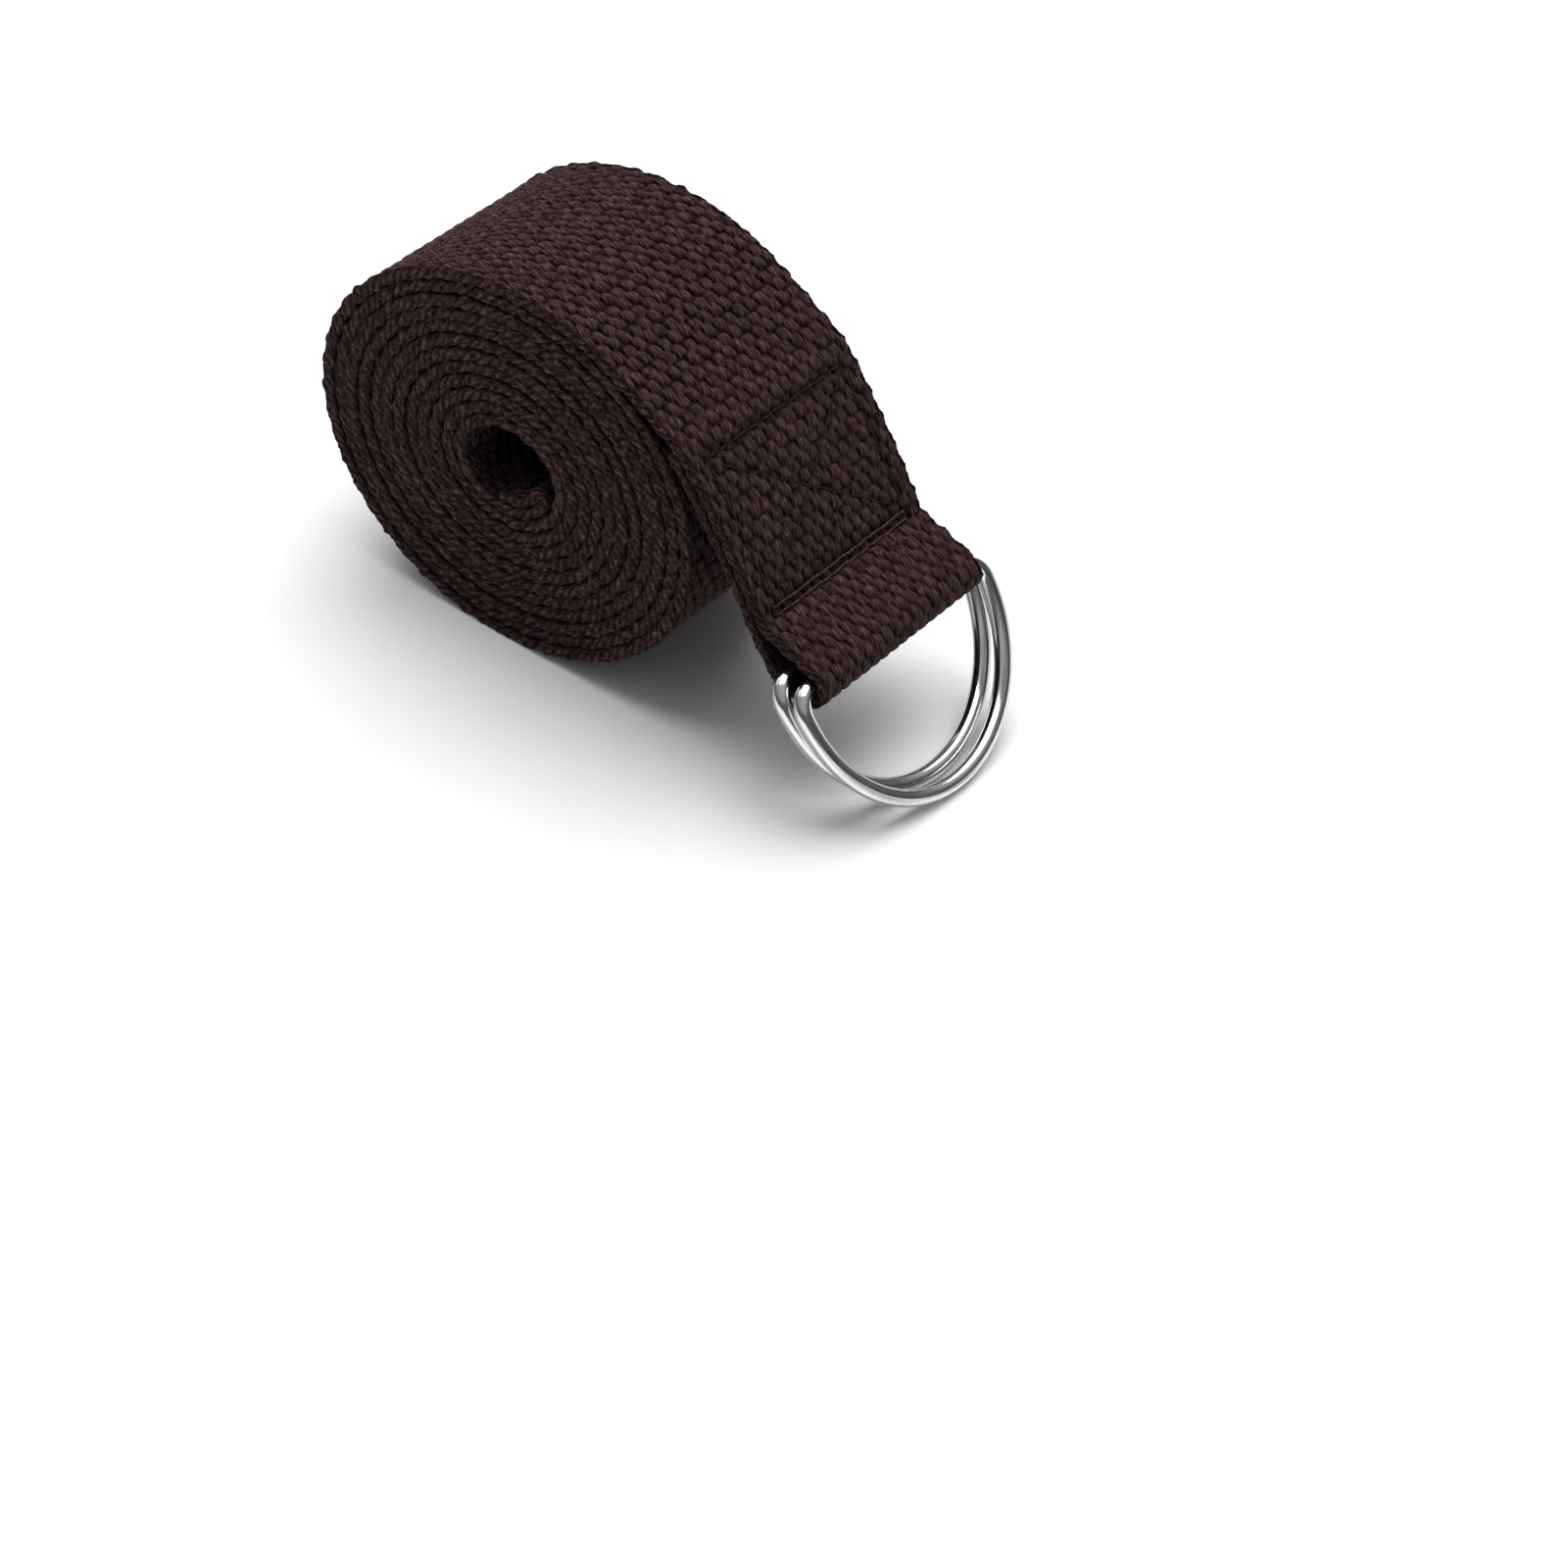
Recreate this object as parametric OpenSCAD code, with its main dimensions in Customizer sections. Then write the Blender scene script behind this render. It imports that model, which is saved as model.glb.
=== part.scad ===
// Stretching strap: woven cotton webbing, rolled up, with two D-rings held in a loop sewn at its outer end.
// The roll stands on its edge. X runs from the roll towards the rings, Y along the roll's axis, Z up.
// The origin is on the surface the strap stands on, under the middle of the whole object.

/* [Webbing] */
// Width of the webbing
strap_w = 38; // [34:0.5:38]
// Thickness of one layer
strap_t = 1.8; // [1.6:0.05:1.8]
// Gap between two layers that lie on each other
layer_gap = 0.1; // [0.06:0.02:0.12]

/* [Roll] */
// Half-width of the outermost turn, to the middle of the layer
outer_rx = 35.4; // [35:0.1:36]
// Half-height of the outermost turn, to the middle of the layer
outer_rz = 30.6; // [30.4:0.1:31]
// Half-width of the innermost turn
inner_rx = 7.95; // [7:0.05:8]
// Half-height of the innermost turn
inner_rz = 6.55; // [6:0.05:6.6]
// Direction, from the roll's middle, in which the tail leaves the roll
leave_angle = 59; // [58:0.5:60]
// Direction, from the roll's middle, of the hem at the inner end
hem_angle = -25; // [-30:1:-20]
// Whole turns, with the part turn between hem and tail on top
whole_turns = 11; // [10:1:11]
// Length of the hem that is folded back inside the innermost turn
hem_length = 9; // [6:0.5:10]

/* [Sewn end] */
// Single layer, from the roll to the end of the folded-back layer
flex_length = 13.5; // [13:0.1:14]
// How far the single layer bends downwards
flex_bend = 4.5; // [4:0.1:5]
// Short bend where the folded-back layer begins
step_length = 3; // [2.5:0.1:3.5]
// How far that short bend turns
step_bend = 18.5; // [17:0.5:19]
// Double layer, from the short bend to the ring loop
lap_length = 27.5; // [26:0.5:28]
// How far the double layer bends downwards
lap_bend = 8.5; // [8:0.1:9]
// Slope, below the level, of the line from the seam to the inner ring's bar
loop_slope = 36; // [34:1:37]

/* [D-rings] */
// Diameter of the wire
wire_d = 2.7; // [2.4:0.1:2.8]
// Half-width of a ring, to the middle of the wire
ring_half = 21.8; // [21.6:0.1:22]
// Radius of the two corners beside the bar
corner_r = 3.3; // [3:0.1:3.5]
// From the seam to the inner ring's bar
inner_bar_at = 6.3; // [6.2:0.1:6.5]
// Distance between the two bars, which lie level with each other
bar_spacing = 3.8; // [3.75:0.05:4]
// Room round a bar in the loop
bar_room = 0.3; // [0.25:0.05:0.35]

/* [Stitching] */
// Diameter of the sewing thread
thread_d = 0.6; // [0.4:0.05:0.7]
// Length of a stitch
stitch_pitch = 3; // [2.5:0.25:4]
// From the webbing's edge to the box's sides
box_inset = 3.5; // [3:0.25:5]
// Distance between the two rows beside the rings
row_spacing = 1.2; // [1:0.1:1.6]

/* [Hidden] */

webbing_colour = [0.2, 0.14, 0.14];
thread_colour = [0.16, 0.1, 0.1];
metal_colour = [0.8, 0.8, 0.82];

turn_steps = 48;
joint_gap = 0.3;
layer_step = strap_t + layer_gap;
wire_r = wire_d / 2;
thread_r = thread_d / 2;

// Turns from the hem to the place where the tail leaves
turns = whole_turns + 1 - ((leave_angle - hem_angle) / 360);

// The roll's middle, from the origin: the outermost turn rests on the surface
roll_x = -18.64;
rest_turn = turns - (270 - leave_angle) / 360;
roll_z = inner_rz + (outer_rz - inner_rz) * rest_turn / turns + strap_t / 2;

// The roll: a spiral of oval turns that runs clockwise, seen from the front, from the hem to the tail

function turn_point(u) =
    let (share = u / turns, a = hem_angle - 360 * u)
    [
        roll_x + (inner_rx + (outer_rx - inner_rx) * share) * cos(a),
        roll_z + (inner_rz + (outer_rz - inner_rz) * share) * sin(a)
    ];

function heading_vector(u, e = 0.001) =
    let (d = turn_point(u + e) - turn_point(u - e))
    d / norm(d);

function left_of(v) = [-v[1], v[0]];

function turn_offset(u, out) = turn_point(u) + out * left_of(heading_vector(u));

// The sewn end: three arcs in a row, each given as [length, downward bend]
arcs = [[flex_length, flex_bend], [step_length, step_bend], [lap_length, lap_bend]];
leave_heading = heading_vector(turns);
leave_slope = atan2(leave_heading[1], leave_heading[0]);
tail_length = flex_length + step_length + lap_length;

function slope_at(s, k = 0, slope = leave_slope) =
    s <= arcs[k][0] || k == len(arcs) - 1
        ? slope - arcs[k][1] * s / arcs[k][0]
        : slope_at(s - arcs[k][0], k + 1, slope - arcs[k][1]);

function arc_end(p, slope, length, bend) =
    let (mid = slope - bend / 2)
    p + length * [cos(mid), sin(mid)];

function tail_point(s, k = 0, p = turn_point(turns), slope = leave_slope) =
    s <= arcs[k][0] || k == len(arcs) - 1
        ? arc_end(p, slope, s, arcs[k][1] * s / arcs[k][0])
        : tail_point(s - arcs[k][0], k + 1, arc_end(p, slope, arcs[k][0], arcs[k][1]), slope - arcs[k][1]);

function tail_offset(s, out) = tail_point(s) + out * [-sin(slope_at(s)), cos(slope_at(s))];

// Pivots: where the tail leaves the roll, where the ring loop bends at its seam, and the two bars
tail_pivot = turn_point(turns);
loop_pivot = tail_offset(tail_length, -layer_step / 2);
inner_bar = loop_pivot + inner_bar_at * [cos(loop_slope), -sin(loop_slope)];
outer_bar = inner_bar + [bar_spacing, 0];

// Each ring leans until its far side rests on the surface
ring_depth = corner_r + ring_half;
function ring_lean(bar) = asin((bar[1] - wire_r) / ring_depth);

// Sewn rows, as distances along the tail
far_row_at = flex_length + step_length + 0.6;
ring_row_at = tail_length - 3.4;
box_half = strap_w / 2 - box_inset;
corner_clearance = 1.6;

// Stretches an outline in the XZ plane over the webbing's width
module across(width = strap_w) {
    rotate([90, 0, 0])
        linear_extrude(width, center = true)
            children();
}

// A band between two offsets of a path
module band(outer, inner) {
    across()
        polygon(concat(outer, [for (i = [len(inner) - 1:-1:0]) inner[i]]));
}

function spread(from, to, steps) = [for (i = [0:steps]) from + (to - from) * i / steps];

function arc_points(centre, r, from, to, steps) =
    [for (a = spread(from, to, steps)) centre + r * [cos(a), sin(a)]];

// A straight length of thread between two points, which may stop short of both or run past both
module rod(p, q, r = thread_r, short = 0) {
    d = q - p;
    translate(p + d * short / norm(d))
        rotate([0, acos(d[2] / norm(d)), atan2(d[1], d[0])])
            cylinder(r = r, h = norm(d) - 2 * short, $fn = 24);
}

function raise(p, y) = [p[0], y, p[1]];

// A run of stitches that follows a bend: thread on top, thread underneath and a leg through the layers
// at each point. The lengths of thread stop short of each other inside a thicker leg.
module bent_run(top, bottom) {
    short = thread_r * 0.6;
    for (i = [0:len(top) - 1]) {
        rod(bottom[i], top[i], thread_r + short * 0.4, -short * 1.6);
    }
    for (i = [0:len(top) - 2]) {
        rod(top[i], top[i + 1], thread_r, short);
        rod(bottom[i], bottom[i + 1], thread_r, short);
    }
}

// A straight row of stitches across the webbing, from points in the XZ plane above and below the layers
module straight_row(top, bottom) {
    for (p = [top, bottom]) {
        rod(raise(p, -box_half), raise(p, box_half), thread_r, -thread_r);
    }
    for (y = spread(-box_half, box_half, round(2 * box_half / stitch_pitch))) {
        rod(raise(bottom, y), raise(top, y), thread_r * 0.8);
    }
}

// Points of a run of stitches over the sewn overlap, from one [distance along, place across] to another
top_level = strap_t / 2 + thread_r * 0.6;
bottom_level = -layer_step - top_level;

function run(from, to, level) =
    let (steps = max(1, round(norm(to - from) / stitch_pitch)))
    [for (k = [0:steps]) let (at = from + (to - from) * k / steps) raise(tail_offset(at[0], level), at[1])];

module overlap_run(from, to) {
    bent_run(run(from, to, top_level), run(from, to, bottom_level));
}

module overlap_row(s) {
    straight_row(tail_offset(s, top_level), tail_offset(s, bottom_level));
}

module webbing_roll() {
    last = turns - (strap_t / 2 + joint_gap) / (PI * (outer_rx + outer_rz));
    us = spread(0, last, round(turns * turn_steps));
    color(webbing_colour)
        band([for (u = us) turn_offset(u, strap_t / 2)], [for (u = us) turn_offset(u, -strap_t / 2)]);
}

// The inner end, folded back on the inside of the innermost turn
hem_turn = hem_length / (PI * (inner_rx + inner_rz));
module webbing_hem() {
    us = spread(0, hem_turn, 10);
    color(webbing_colour)
        band([for (u = us) turn_offset(u, -strap_t / 2 - layer_gap)],
             [for (u = us) turn_offset(u, -strap_t * 1.5 - layer_gap)]);
}

module hem_stitches() {
    u = hem_turn * 0.7;
    color(thread_colour)
        straight_row(turn_offset(u, strap_t / 2), turn_offset(u, -strap_t * 1.5 - layer_gap));
}

// The outer layer, from the roll to the loop, with a round nose on the line where it bends
module webbing_tail() {
    nose = arc_points(tail_pivot, strap_t / 2, leave_slope + 270, leave_slope + 90, 8);
    ss = spread(0, tail_length - layer_step - joint_gap, 30);
    color(webbing_colour)
        across()
            polygon(concat(
                nose,
                [for (i = [1:len(ss) - 1]) tail_offset(ss[i], strap_t / 2)],
                [for (i = [len(ss) - 1:-1:1]) tail_offset(ss[i], -strap_t / 2)]
            ));
}

// The folded-back layer under the tail
module webbing_underlap() {
    ss = spread(flex_length, tail_length - layer_step - joint_gap, 24);
    color(webbing_colour)
        band([for (s = ss) tail_offset(s, layer_gap * -1 - strap_t / 2)],
             [for (s = ss) tail_offset(s, -layer_step - strap_t / 2)]);
}

// The loop round both bars, closed by a round nose on the seam where it bends
loop_in = wire_r + bar_room;
loop_out = loop_in + strap_t;
nose_r = strap_t + layer_gap / 2;
pocket_at = 2.2;

// Direction in which a line leaves two circles that it touches on one side: 1 is above and -1 below
function touch_angle(p, rp, q, rq, side) =
    let (d = q - p)
    atan2(d[1], d[0]) + side * (90 + asin((rq - rp) / norm(d)));

module webbing_ring_loop() {
    above = touch_angle(loop_pivot, nose_r, outer_bar, loop_out, 1);
    below = touch_angle(loop_pivot, nose_r, inner_bar, loop_out, -1);
    pocket = loop_pivot + pocket_at * [cos((above + below) / 2), sin((above + below) / 2)];
    pocket_above = touch_angle(pocket, 0, outer_bar, loop_in, 1);
    pocket_below = touch_angle(pocket, 0, inner_bar, loop_in, -1);
    color(webbing_colour)
        across()
            difference() {
                polygon(concat(
                    arc_points(outer_bar, loop_out, above, -90, 16),
                    arc_points(inner_bar, loop_out, -90, below, 5),
                    arc_points(loop_pivot, nose_r, below, above - 360, 14)
                ));
                polygon(concat(
                    [pocket],
                    arc_points(outer_bar, loop_in, pocket_above, -90, 16),
                    arc_points(inner_bar, loop_in, -90, pocket_below, 5)
                ));
            }
}

module far_row_stitches() {
    color(thread_colour)
        overlap_row(far_row_at);
}

module ring_row_stitches() {
    color(thread_colour)
        for (s = [ring_row_at, ring_row_at + row_spacing]) {
            overlap_row(s);
        }
}

module box_side_stitches() {
    color(thread_colour)
        for (y = [-box_half, box_half]) {
            overlap_run([far_row_at + corner_clearance, y], [ring_row_at - corner_clearance, y]);
        }
}

module box_cross_stitches() {
    from = far_row_at + corner_clearance;
    to = ring_row_at - corner_clearance;
    y = box_half - corner_clearance;
    color(thread_colour) {
        overlap_run([from, -y], [to, y]);
        overlap_run([from, y], [to, -y]);
    }
}

// A D-ring with its bar on the Y axis and its round side towards +X
module d_ring() {
    straight = ring_half - corner_r;
    rotate([90, 0, 0])
        cylinder(r = wire_r, h = 2 * straight, center = true, $fn = 48);
    for (side = [-1, 1]) {
        translate([corner_r, side * straight, 0])
            rotate([0, 0, side > 0 ? 90 : 180])
                rotate_extrude(angle = 90, $fn = 64)
                    translate([corner_r, 0])
                        circle(r = wire_r, $fn = 48);
    }
    translate([corner_r, 0, 0])
        rotate([0, 0, -90])
            rotate_extrude(angle = 180, $fn = 96)
                translate([ring_half, 0])
                    circle(r = wire_r, $fn = 48);
}

module hung_ring(bar) {
    color(metal_colour)
        translate([bar[0], 0, bar[1]])
            rotate([0, ring_lean(bar), 0])
                d_ring();
}

module inner_d_ring() {
    hung_ring(inner_bar);
}

module outer_d_ring() {
    hung_ring(outer_bar);
}

webbing_roll();
webbing_hem();
hem_stitches();
webbing_tail();
webbing_underlap();
webbing_ring_loop();
far_row_stitches();
ring_row_stitches();
box_side_stitches();
box_cross_stitches();
inner_d_ring();
outer_d_ring();
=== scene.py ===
import math

import bpy
import numpy as np
from mathutils import Matrix, Vector


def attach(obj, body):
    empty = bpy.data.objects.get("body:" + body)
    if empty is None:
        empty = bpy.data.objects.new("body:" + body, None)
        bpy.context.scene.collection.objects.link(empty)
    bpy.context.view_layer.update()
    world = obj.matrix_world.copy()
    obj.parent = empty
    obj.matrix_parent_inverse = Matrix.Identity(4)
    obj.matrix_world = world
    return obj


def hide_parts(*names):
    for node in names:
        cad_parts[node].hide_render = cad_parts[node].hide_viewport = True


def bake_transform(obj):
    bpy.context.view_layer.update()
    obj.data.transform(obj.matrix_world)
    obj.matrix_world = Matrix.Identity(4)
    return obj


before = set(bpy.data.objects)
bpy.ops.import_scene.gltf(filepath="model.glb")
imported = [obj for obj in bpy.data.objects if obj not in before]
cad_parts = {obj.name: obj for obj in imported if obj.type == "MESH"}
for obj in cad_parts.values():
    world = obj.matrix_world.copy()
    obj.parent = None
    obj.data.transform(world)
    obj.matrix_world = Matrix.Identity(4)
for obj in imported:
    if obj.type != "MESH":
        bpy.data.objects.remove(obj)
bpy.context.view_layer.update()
MM = 0.001

# The strap's measures in millimetres, as in the CAD source
STRAP_T = 1.8
LAYER_STEP = 1.9
OUTER_R = np.array([35.4, 30.6])
INNER_R = np.array([7.95, 6.55])
LEAVE_ANGLE = 59.0
HEM_ANGLE = -25.0
HEM_LENGTH = 9.0
TURNS = 12 - (LEAVE_ANGLE - HEM_ANGLE) / 360
REST_SHARE = (TURNS - (270 - LEAVE_ANGLE) / 360) / TURNS
MIDDLE = np.array([-18.64, INNER_R[1] + (OUTER_R[1] - INNER_R[1]) * REST_SHARE + STRAP_T / 2])
TAIL_LENGTH = 44.0
TAIL_TURNED = ((0.0, 0.0), (13.5, 4.5), (16.5, 23.0), (44.0, 31.5))  # station, degrees turned down
UNDERLAP_FROM = 13.5
LOOP_SLOPE = 36.0
LOOP_R = 2.55  # from each bar to the loop's middle line
INNER_BAR_AT = 6.3
BAR_SPACING = 3.8
BOX_HALF = 15.5
FAR_ROW = 17.1
RING_ROWS = (40.6, 41.8)
CROSS_INSET = 1.6

# The D-rings, in millimetres
WIRE_R = 1.35
RING_HALF = 21.8
CORNER_R = 3.3

# The weave: warp yarns side by side, each passing over and under in half periods
PERIOD = 4.1
YARN_STEP = 1.144
OUTER_YARN = 16
YARN_HALF = 1.06
YARN_RISE = 0.66
YARN_ROUND = 2.4
YARN_SWING = 0.26
YARN_DIVE = 0.80
EDGE_YARN_SWING = 0.28
WAVE_POWER = 0.6
BRICK_LIFT = 0.11
BRICK_LEAN = 0.18
BRICK_SHIFT = 0.14
PLY_STEP = 0.5
PLY_SKEW = 0.2
PLY_RISE = 0.09
PIT_FLOOR = 0.02

# The sewn end's yarns are pressed towards one height, by this share, which is reached over this length
YARN_HIGH = 0.73
PRESSED = 0.34
PRESSED_OVER = 15

# Painted light and shade: the weave's colour is dark in its pits, between plies and in sewing grooves, light
# on crests
# The weave's painted shade: the height it starts at, the rise to white, the plies' share and the darkening in
# grooves
SHADE_FROM = 0.34
SHADE_OVER = 0.51
PLY_SHADE = 0.33
GROOVE_SHADE = 1.1

# The selvedge: a rounded edge of bulging yarn turns, two rows in opposite phase
EDGE_COUNT = 13
EDGE_ANGLES = np.radians(np.linspace(74, -74, EDGE_COUNT))
ROUND_EDGE = 0.2 * np.arange(EDGE_COUNT)
ROW_ANGLE = 0.75
ROW_LEAN = 1.2
BULGE_BASE, BULGE_GAIN, BULGE_TOP = 0.35, 0.85, 1.2
STRANDS = ((1.15, 1.71, 1.6, 0.6), (0.9, -1.21, 1.4, 0.4))  # waves round and along, unevenness, share
AWAY = {"base": 0.46, "bulge": 0.18, "strands": 0.20, "rough": 0.12}
REACH = {"middle": 0.6, "bulge": 0.36, "rough": 0.09, "wave": 0.20}
# Painted shade on the selvedge: darker than the weave's top, lighter on the bulges, darker between the
# strands
EDGE_SHADE = {"base": 0.44, "bulge": 0.22, "strands": 0.48, "rough": 0.16}
# Painted shade where the edge meets the neighbouring turns
PAINTED_GAP_SHADE = {"base": 0.88, "rough": 0.55, "power": 1.2}

# How the strap is cut into meshes: places across, spacing along, and where the sewn end becomes the loop
FINE_V = np.linspace(-OUTER_YARN * YARN_STEP, OUTER_YARN * YARN_STEP, 32 * 8 + 1)
HIDDEN_V = [-12.0, 0.0, 12.0]
EDGE_V = np.concatenate([FINE_V[:8], HIDDEN_V, FINE_V[-8:]])
HIDDEN = slice(8, 8 + len(HIDDEN_V))
STEP = 0.41
CORE_STEP = 0.5125
LAP_SPLIT = 36.0
UV_PER_MM = 0.01

# The sewing: length and form of a stitch, form of the thread, and the hem's row
STITCH = 3.0
STITCH_POINTS = 14
STITCH_POWER = 0.38
END_DIP = 1.6
THREAD_SIDES, THREAD_LOBES, THREAD_TWIST = 10, 3, 1.1
LOBE_DEPTH = 0.16
HEM_ROW_AT = 0.7 * HEM_LENGTH
HEM_STITCHES = 10


# ---- The strap's path: hem, spiral, tail, loop and underlap, in one line ----

def spiral(u, out=0.0):
    """Points and headings of the wound strap's middle line, moved outwards, at these turns from the fold."""
    def at_turn(t):
        a = np.radians(HEM_ANGLE - 360 * t)[:, None]
        r = INNER_R + (OUTER_R - INNER_R) * (t / TURNS)[:, None]
        return MIDDLE + r * np.concatenate([np.cos(a), np.sin(a)], 1)
    d = at_turn(u + 1e-4) - at_turn(u - 1e-4)
    d /= np.linalg.norm(d, axis=1)[:, None]
    return at_turn(u) + out * np.stack([-d[:, 1], d[:, 0]], 1), d


def arc(centre, r, a0, a1, n):
    a = np.radians(np.linspace(a0, a1, n))
    return np.array(centre) + r * np.stack([np.cos(a), np.sin(a)], 1)


def touch_angle(p, rp, q, rq, side):
    """Direction in which a line leaves two circles that it touches on one side: 1 is above and -1 below."""
    d = q - p
    tilt = math.degrees(math.asin((rq - rp) / np.linalg.norm(d)))
    return math.degrees(math.atan2(d[1], d[0])) + side * (90 + tilt)


end_point, end_heading = spiral(np.array([TURNS]))
leave_slope = math.degrees(math.atan2(end_heading[0, 1], end_heading[0, 0]))
tail_s = np.linspace(0, TAIL_LENGTH, 881)
turned_at, turned = np.array(TAIL_TURNED).T
tail_slope = np.interp(tail_s, turned_at, leave_slope - turned)
tail_dir = np.stack([np.cos(np.radians(tail_slope)), np.sin(np.radians(tail_slope))], 1)
steps = (tail_dir[1:] + tail_dir[:-1]) / 2 * (tail_s[1] - tail_s[0])
tail_mid = end_point[0] + np.concatenate([[[0, 0]], np.cumsum(steps, 0)])
tail_left = np.stack([-tail_dir[:, 1], tail_dir[:, 0]], 1)
under_mid = tail_mid - LAYER_STEP * tail_left

loop_pivot = tail_mid[-1] - LAYER_STEP / 2 * tail_left[-1]
slope = math.radians(LOOP_SLOPE)
loop_along = np.array([math.cos(slope), -math.sin(slope)])
inner_bar = loop_pivot + INNER_BAR_AT * loop_along
outer_bar = inner_bar + np.array([BAR_SPACING, 0])
above = touch_angle(loop_pivot, LAYER_STEP / 2, outer_bar, LOOP_R, 1)
below = touch_angle(loop_pivot, LAYER_STEP / 2, inner_bar, LOOP_R, -1)
loop_mid = np.concatenate([
    arc(outer_bar, LOOP_R, above, -90, 60),
    arc(inner_bar, LOOP_R, -90, below, 16),
])

hem_us = np.linspace(HEM_LENGTH / (math.pi * INNER_R.sum()), 0, 60)
hem_line, _ = spiral(hem_us, -LAYER_STEP)
fold_centre, fold_heading = spiral(np.array([0.0]), -LAYER_STEP / 2)
fold_angle = math.degrees(math.atan2(fold_heading[0, 0], -fold_heading[0, 1]))
fold_line = arc(fold_centre[0], LAYER_STEP / 2, fold_angle - 180, fold_angle - 360, 24)
roll_line, _ = spiral(np.linspace(0, TURNS, 9000))

# The line's lengths in order, and along the tail and the underlap each point's station from the tail's pivot
HEM, FOLD, ROLL, TAIL, LOOP, UNDERLAP = range(6)
NO_STATION_BEFORE, NO_STATION_LOOP = -99.0, 99.0
on_tail = tail_s < 42.4
on_underlap = (tail_s < 43.0) & (tail_s >= UNDERLAP_FROM)
lengths = [
    (HEM, hem_line[:-1], NO_STATION_BEFORE),
    (FOLD, fold_line[:-1], NO_STATION_BEFORE),
    (ROLL, roll_line[:-1], NO_STATION_BEFORE),
    (TAIL, tail_mid[on_tail], tail_s[on_tail]),
    (LOOP, loop_mid, NO_STATION_LOOP),
    (UNDERLAP, under_mid[on_underlap][::-1], tail_s[on_underlap][::-1]),
]
line = np.concatenate([points for _, points, _ in lengths])
kind = np.concatenate([np.full(len(points), k) for k, points, _ in lengths])
station = np.concatenate([np.broadcast_to(st, len(points)) for _, points, st in lengths])
reach = np.concatenate([[0], np.cumsum(np.linalg.norm(np.diff(line, axis=0), axis=1))])
S_FOLD, S_LEAVE, S_SEAM, S_BACK = (reach[np.argmax(kind == k)] for k in (ROLL, TAIL, LOOP, UNDERLAP))
S_END = reach[-1]

# Even spacing, with the corners of the loop rounded as cloth would
GRID_STEP = 0.1
ROUND_REACH = 30
ROUND_WIDTH = 8.0
ROUND_FROM = 7
ROUND_FADE = 3


def smoothed(values, weights):
    padded = np.pad(values, ((len(weights) // 2, len(weights) // 2), (0, 0)), mode="edge")
    return np.stack([np.convolve(padded[:, k], weights, mode="valid") for k in (0, 1)], 1)


grid = np.arange(0, S_END + GRID_STEP / 2, GRID_STEP)
even = np.stack([np.interp(grid, reach, line[:, k]) for k in (0, 1)], 1)
kernel = np.exp(-0.5 * (np.arange(-ROUND_REACH, ROUND_REACH + 1) / ROUND_WIDTH) ** 2)
kernel /= kernel.sum()
soft = smoothed(even, kernel)
share = np.clip((grid - (S_SEAM - ROUND_FROM)) / ROUND_FADE, 0, 1)
share = share * np.clip((S_BACK + ROUND_FROM - grid) / ROUND_FADE, 0, 1)
path = even + (soft - even) * share[:, None]
tangent = smoothed(np.gradient(path, axis=0), np.ones(5) / 5)
tangent /= np.linalg.norm(tangent, axis=1)[:, None]
normal = np.stack([-tangent[:, 1], tangent[:, 0]], 1)

# Small sideways shifts of the wound turns
SHIFT = 0.4
SHIFT_EVERY = 45.0
rng = np.random.default_rng(7)
knots = np.arange(0, S_END + 60, SHIFT_EVERY)
shifts = rng.uniform(-SHIFT, SHIFT, len(knots))
shifts = np.convolve(np.pad(shifts, 1, mode="edge"), [0.25, 0.5, 0.25], mode="valid")


def wander(s):
    """Sideways shift of the strap, which fades out before the tail."""
    return np.interp(s, knots, shifts) * np.clip((S_LEAVE - 90 - s) / 60, 0, 1) * np.clip(s / 40, 0.3, 1)


def at(s, out=0.0):
    """Points of the strap at these distances along it, this far out from its middle."""
    p = np.stack([np.interp(s, grid, path[:, k]) for k in (0, 1)], -1)
    n = np.stack([np.interp(s, grid, normal[:, k]) for k in (0, 1)], -1)
    return p + np.asarray(out)[..., None] * n


def tail_at(t):
    return np.interp(t, station[kind == TAIL], reach[kind == TAIL])


def underlap_at(t):
    return np.interp(t, station[kind == UNDERLAP][::-1], reach[kind == UNDERLAP][::-1])


# ---- The weave's surface ----

def scatter(a, b):
    """A value from 0 to 1 that looks random, the same for the same two numbers."""
    x = np.sin(a * 12.9898 + b * 78.233 + 4.7) * 43758.5453
    return x - np.floor(x)


def ripple(p, wave):
    """Uneven waves from -1 to 1 over the side faces, of about this wavelength."""
    x = p[..., 0] * 2 * np.pi / wave
    z = p[..., 1] * 2 * np.pi / wave
    return (np.sin(x + 0.7 * z + 1.3) + np.sin(1.3 * z - 0.5 * x + 4.1) + np.sin(0.8 * x - 1.1 * z)) / 3


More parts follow.
